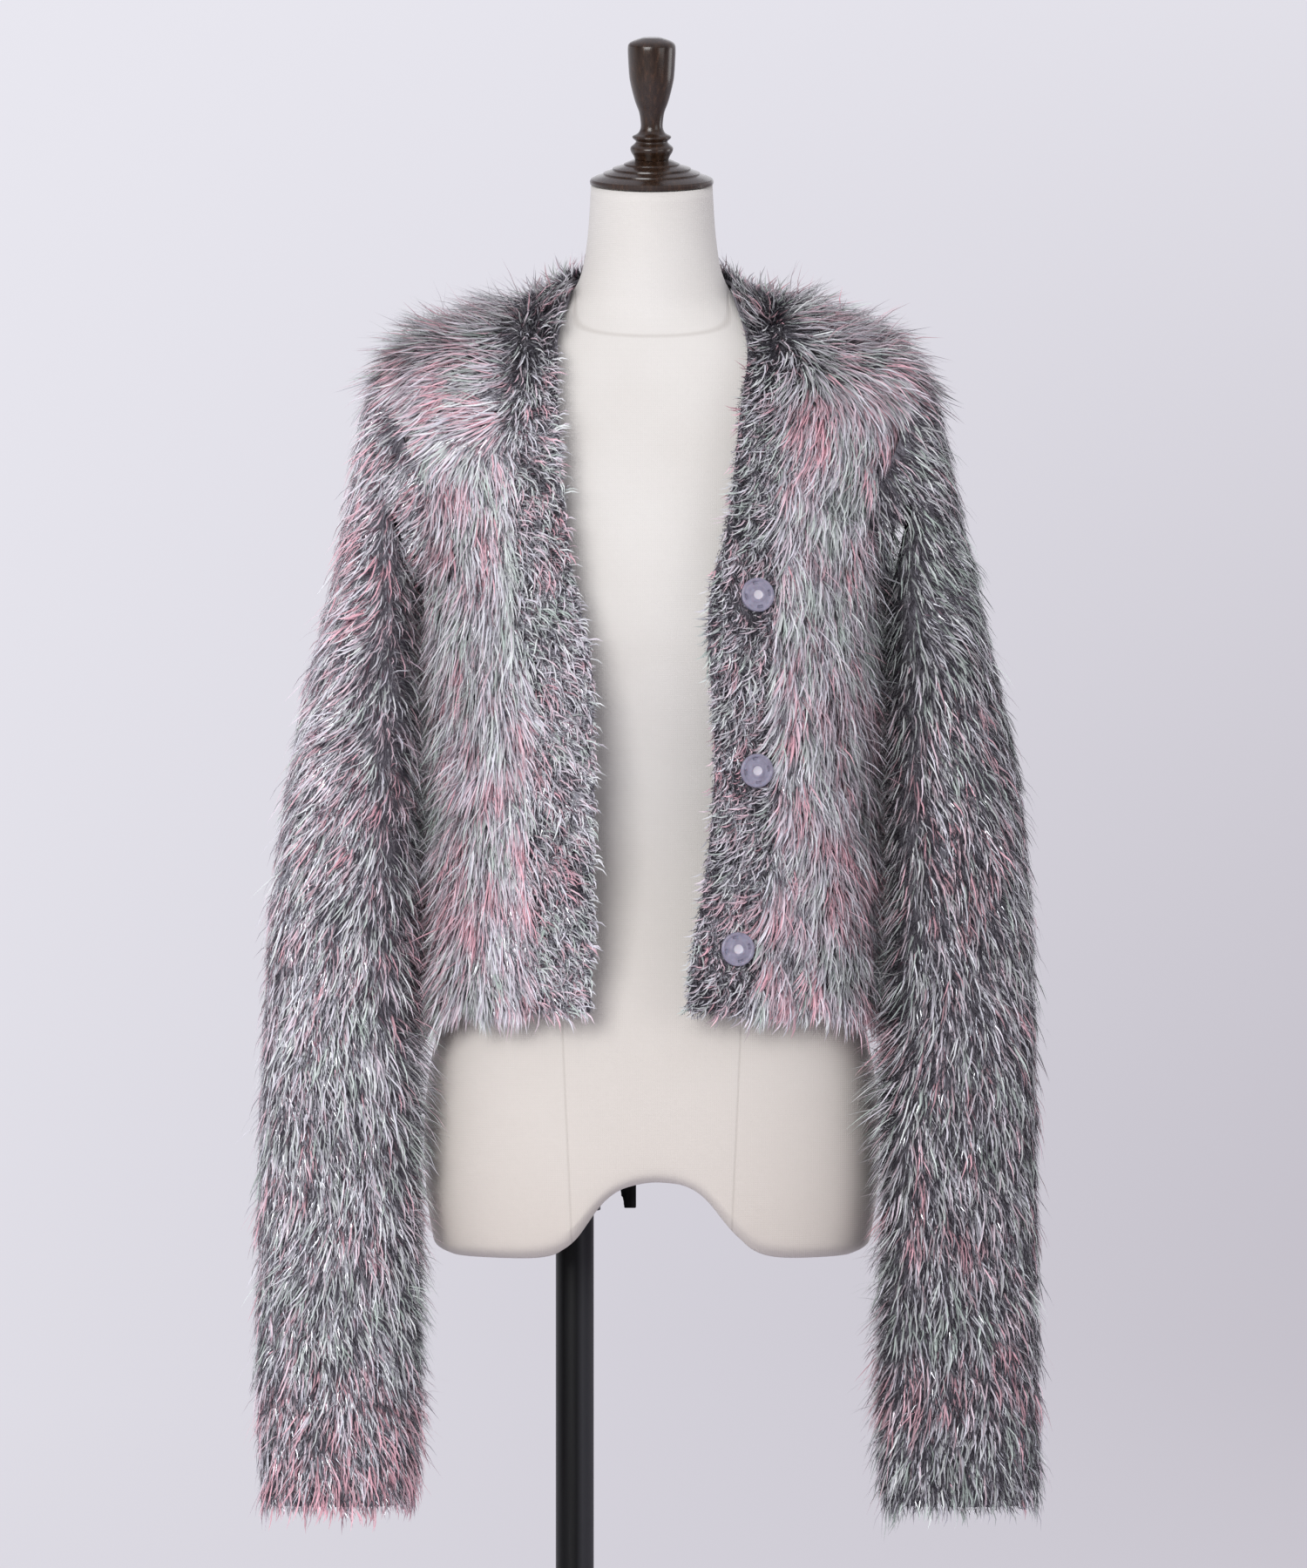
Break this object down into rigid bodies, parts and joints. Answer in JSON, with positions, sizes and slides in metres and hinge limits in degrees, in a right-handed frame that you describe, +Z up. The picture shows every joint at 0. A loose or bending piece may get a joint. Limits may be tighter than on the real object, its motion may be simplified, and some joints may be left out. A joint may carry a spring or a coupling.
{
  "type": "fuzzy cropped cardigan worn by a limbless dress form on a stand",
  "caption": "Cropped V-neck cardigan in long-pile eyelash yarn, open down the front with flat round snaps, worn by a limbless dress form on an off-centre pole and a round base.",
  "frame": {"origin": "on the floor, under the middle of the form; the pole and base stand 53 mm from it towards -X", "axes": "+Z up, -Y the way the garment's front faces, -X the wearer's right"},
  "size_m": [0.5373, 0.34, 1.5288],
  "materials": {
    "long_pile_knit": "long crinkled pile with pale feathery strands",
    "short_pile_knit": "short crinkled pile",
    "snap_plastic": "satin, lavender grey",
    "cream_linen": "fine smooth weave over a hard shell",
    "dark_turned_wood": "glossy dark stain",
    "painted_board": "matt dark paint",
    "satin_black_steel": "satin black"
  },
  "bodies": {
    "root": {"body_back": "long_pile_knit", "front_right": "long_pile_knit", "front_left": "long_pile_knit", "sleeve_right_head": "long_pile_knit", "sleeve_right_elbow": "long_pile_knit", "sleeve_right_cuff": "long_pile_knit", "sleeve_left_head": "long_pile_knit", "sleeve_left_elbow": "long_pile_knit", "sleeve_left_cuff": "long_pile_knit", "band_right": "short_pile_knit", "band_left": "short_pile_knit", "band_neck": "short_pile_knit", "snap_left_1": "snap_plastic", "snap_left_2": "snap_plastic", "snap_left_3": "snap_plastic", "snap_right_1": "snap_plastic", "snap_right_2": "snap_plastic", "snap_right_3": "snap_plastic", "form_torso": "cream_linen", "form_skirt": "cream_linen", "neck_cap": "dark_turned_wood", "neck_finial": "dark_turned_wood", "form_board": "painted_board", "pole": "satin_black_steel", "pole_flange": "satin_black_steel", "pole_collar": "satin_black_steel", "pole_screw": "satin_black_steel", "clamp_bracket": "satin_black_steel", "base_hub": "satin_black_steel", "base_plate": "satin_black_steel"}
  },
  "joints": []
}
